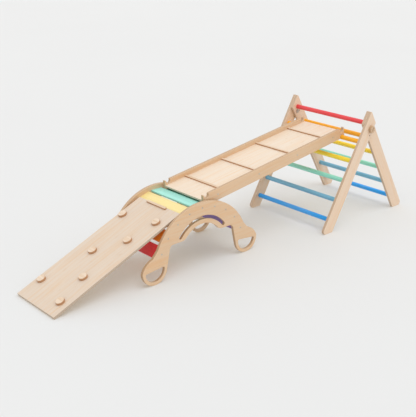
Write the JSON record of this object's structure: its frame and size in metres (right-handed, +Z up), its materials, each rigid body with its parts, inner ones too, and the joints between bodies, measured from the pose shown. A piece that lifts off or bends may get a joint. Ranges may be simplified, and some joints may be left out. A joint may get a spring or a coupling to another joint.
{
  "type": "toddler climbing and slide set",
  "caption": "Wooden toddler set in one line: hinged climbing triangle with coloured rungs, railed ramp, arch rocker with ring handles, and sloping climbing board with round holds.",
  "frame": {"origin": "on the floor, in the middle of the set's length and of the triangle's width", "axes": "+X from the climbing board's foot towards the triangle, +Y away from the near side, +Z up"},
  "size_m": [2.5253, 0.667, 0.6861],
  "materials": {
    "birch_ply": "clear satin lacquer, pale birch plywood with layered edges",
    "beech": "clear satin lacquer, solid wood",
    "nylon": "natural nylon",
    "dark_steel": "black oxide",
    "steel": "zinc plated",
    "paint_red": "satin paint on wood",
    "paint_orange": "satin paint on wood",
    "paint_amber": "satin paint on wood",
    "paint_yellow": "satin paint on wood",
    "paint_green": "satin paint on wood",
    "paint_grey_blue": "satin paint on wood",
    "paint_blue": "satin paint on wood",
    "paint_mint": "satin paint on wood",
    "paint_indigo": "satin paint on wood",
    "paint_purple": "satin paint on wood",
    "paint_cream": "satin paint on wood"
  },
  "bodies": {
    "base": {"front_leg_near": "birch_ply", "front_leg_far": "birch_ply", "top_rung_red": "paint_red", "front_rung_orange": "paint_orange", "front_rung_yellow": "paint_yellow", "front_rung_green": "paint_green", "front_rung_grey_blue": "paint_grey_blue", "front_rung_blue": "paint_blue", "pivot_slip_rings": "nylon", "lock_bolt_near": "dark_steel", "lock_bolt_far": "dark_steel", "lock_washers": "dark_steel", "arch_panel_near": "birch_ply", "arch_panel_far": "birch_ply", "arch_slat_red": "paint_red", "arch_slat_orange": "paint_orange", "arch_slat_amber": "paint_amber", "arch_slat_yellow": "paint_cream", "arch_slat_mint": "paint_mint", "arch_slat_green": "paint_green", "arch_slat_blue": "paint_blue", "arch_slat_indigo": "paint_indigo", "arch_slat_purple": "paint_purple", "arch_screws": "steel"},
    "rear_frame": {"rear_leg_near": "birch_ply", "rear_leg_far": "birch_ply", "rear_rung_orange": "paint_orange", "rear_rung_yellow": "paint_yellow", "rear_rung_green": "paint_green", "rear_rung_grey_blue": "paint_grey_blue", "rear_rung_blue": "paint_blue"},
    "lock_knob_near": {"lock_knob_near": "beech"},
    "lock_knob_far": {"lock_knob_far": "beech"},
    "ramp": {"ramp_rail_near": "birch_ply", "ramp_rail_far": "birch_ply", "ramp_board": "birch_ply", "ramp_batten_1": "beech", "ramp_batten_2": "beech", "ramp_batten_3": "beech", "ramp_batten_4": "beech", "ramp_screws": "steel"},
    "climbing_board": {"climbing_panel": "birch_ply", "climbing_hold_1": "beech", "climbing_hold_2": "beech", "climbing_hold_3": "beech", "climbing_hold_4": "beech", "climbing_hold_5": "beech", "climbing_hold_6": "beech", "climbing_hold_7": "beech", "grip_strip": "beech", "hook_cleat": "beech", "hold_screws": "steel"}
  },
  "joints": [
    {"name": "rear_frame_fold", "type": "hinge", "parent": "base", "child": "rear_frame", "pos_m": [0.87754, 0, 0.613], "axis": [0, 1, 0], "range_deg": [0, 30]},
    {"name": "lock_knob_near_turn", "type": "hinge", "parent": "base", "child": "lock_knob_near", "pos_m": [0.87754, -0.3165, 0.582], "axis": [0, 1, 0], "continuous": true},
    {"name": "lock_knob_far_turn", "type": "hinge", "parent": "base", "child": "lock_knob_far", "pos_m": [0.87754, 0.3165, 0.582], "axis": [0, 1, 0], "continuous": true},
    {"name": "ramp_tilt", "type": "hinge", "parent": "base", "child": "ramp", "pos_m": [0.81754, 0.025, 0.50908], "axis": [0, 1, 0], "range_deg": [0, 20]},
    {"name": "climbing_board_lift", "type": "hinge", "parent": "base", "child": "climbing_board", "pos_m": [-1.25726, 0.025, 0], "axis": [0, -1, 0], "range_deg": [0, 25]}
  ]
}
